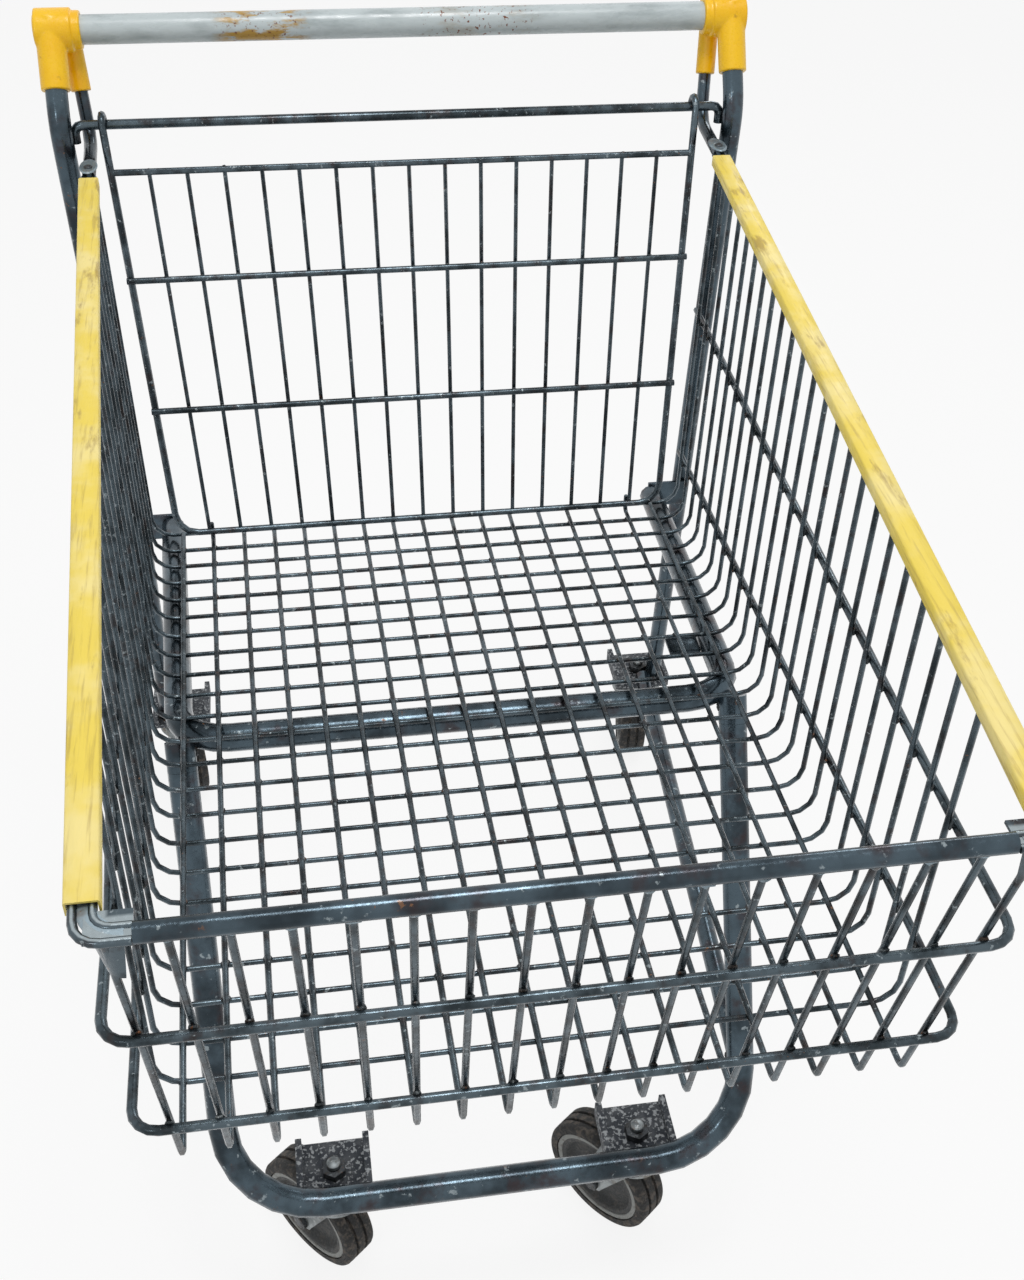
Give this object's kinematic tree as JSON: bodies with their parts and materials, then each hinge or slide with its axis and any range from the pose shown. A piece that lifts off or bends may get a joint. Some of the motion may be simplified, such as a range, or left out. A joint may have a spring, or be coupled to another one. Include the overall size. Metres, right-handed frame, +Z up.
{
  "type": "shopping trolley",
  "caption": "Wire shopping trolley: tapering mesh basket, swing-up rear gate, plastic-gripped handle, tube chassis and swivel castors.",
  "frame": {"origin": "on the floor, under the middle of the trolley's length and width", "axes": "+Z up, the nose faces -Y and the handle is towards +Y, +X is to the right seen from in front of the nose"},
  "size_m": [0.6704, 1.0826, 1.019],
  "materials": {
    "wire": "weathered zinc plate, dull and darkened",
    "tube": "weathered zinc plate on tube, dull with brown tarnish",
    "zinc": "pale zinc plate on pressed sheet",
    "cast": "corroded dark plate with white patches",
    "bolt": "dark nuts and bolts",
    "yellow_plastic": "yellow moulded plastic, dirty",
    "grey_plastic": "pale grey plastic sleeve, worn",
    "rubber": "black rubber tread, dusty",
    "nylon": "grey moulded wheel core"
  },
  "bodies": {
    "frame": {"basket_mesh": "wire", "belt_lower": "wire", "belt_upper": "wire", "brace_left": "tube", "brace_right": "tube", "bumper_strip_left": "yellow_plastic", "bumper_strip_right": "yellow_plastic", "castor_front_left_king_bolt": "bolt", "castor_front_left_plate": "cast", "castor_front_right_king_bolt": "bolt", "castor_front_right_plate": "cast", "castor_rear_left_king_bolt": "bolt", "castor_rear_left_plate": "cast", "castor_rear_right_king_bolt": "bolt", "castor_rear_right_plate": "cast", "floor_tube": "tube", "foot_bracket_left": "tube", "foot_bracket_right": "tube", "front_loop": "tube", "front_rim_bar": "tube", "handle_bar": "tube", "handle_end_left": "yellow_plastic", "handle_end_right": "yellow_plastic", "handle_grip": "grey_plastic", "hinge_rod": "wire", "lower_rail_left": "tube", "lower_rail_right": "tube", "rim_left": "wire", "rim_right": "wire", "side_tab": "tube", "upright_left": "tube", "upright_right": "tube"},
    "gate": {"gate": "wire"},
    "fork_front_left": {"castor_front_left_fork": "zinc", "castor_front_left_axle": "bolt"},
    "wheel_front_left": {"castor_front_left_wheel": "nylon", "castor_front_left_tread": "rubber"},
    "fork_front_right": {"castor_front_right_fork": "zinc", "castor_front_right_axle": "bolt"},
    "wheel_front_right": {"castor_front_right_wheel": "nylon", "castor_front_right_tread": "rubber"},
    "fork_rear_left": {"castor_rear_left_fork": "zinc", "castor_rear_left_axle": "bolt"},
    "wheel_rear_left": {"castor_rear_left_wheel": "nylon", "castor_rear_left_tread": "rubber"},
    "fork_rear_right": {"castor_rear_right_fork": "zinc", "castor_rear_right_axle": "bolt"},
    "wheel_rear_right": {"castor_rear_right_wheel": "nylon", "castor_rear_right_tread": "rubber"}
  },
  "joints": [
    {"name": "gate_hinge", "type": "hinge", "parent": "frame", "child": "gate", "pos_m": [0, 0.38265, 0.9275], "axis": [-1, 0, 0], "range_deg": [0, 80]},
    {"name": "front_left_swivel", "type": "hinge", "parent": "frame", "child": "fork_front_left", "pos_m": [-0.146, -0.23635, 0.138], "axis": [0, 0, 1], "continuous": true},
    {"name": "front_right_swivel", "type": "hinge", "parent": "frame", "child": "fork_front_right", "pos_m": [0.146, -0.23635, 0.138], "axis": [0, 0, 1], "continuous": true},
    {"name": "rear_left_swivel", "type": "hinge", "parent": "frame", "child": "fork_rear_left", "pos_m": [-0.3, 0.44765, 0.138], "axis": [0, 0, 1], "continuous": true},
    {"name": "rear_right_swivel", "type": "hinge", "parent": "frame", "child": "fork_rear_right", "pos_m": [0.3, 0.44765, 0.138], "axis": [0, 0, 1], "continuous": true},
    {"name": "front_left_wheel_spin", "type": "hinge", "parent": "fork_front_left", "child": "wheel_front_left", "pos_m": [-0.16528, -0.21337, 0.0625], "axis": [-0.766, -0.6428, 0], "continuous": true},
    {"name": "front_right_wheel_spin", "type": "hinge", "parent": "fork_front_right", "child": "wheel_front_right", "pos_m": [0.12753, -0.21271, 0.0625], "axis": [-0.788, -0.6157, 0], "continuous": true},
    {"name": "rear_left_wheel_spin", "type": "hinge", "parent": "fork_rear_left", "child": "wheel_rear_left", "pos_m": [-0.30624, 0.47699, 0.0625], "axis": [-0.9781, -0.2079, 0], "continuous": true},
    {"name": "rear_right_wheel_spin", "type": "hinge", "parent": "fork_rear_right", "child": "wheel_rear_right", "pos_m": [0.30521, 0.47719, 0.0625], "axis": [-0.9848, 0.1736, 0], "continuous": true}
  ]
}
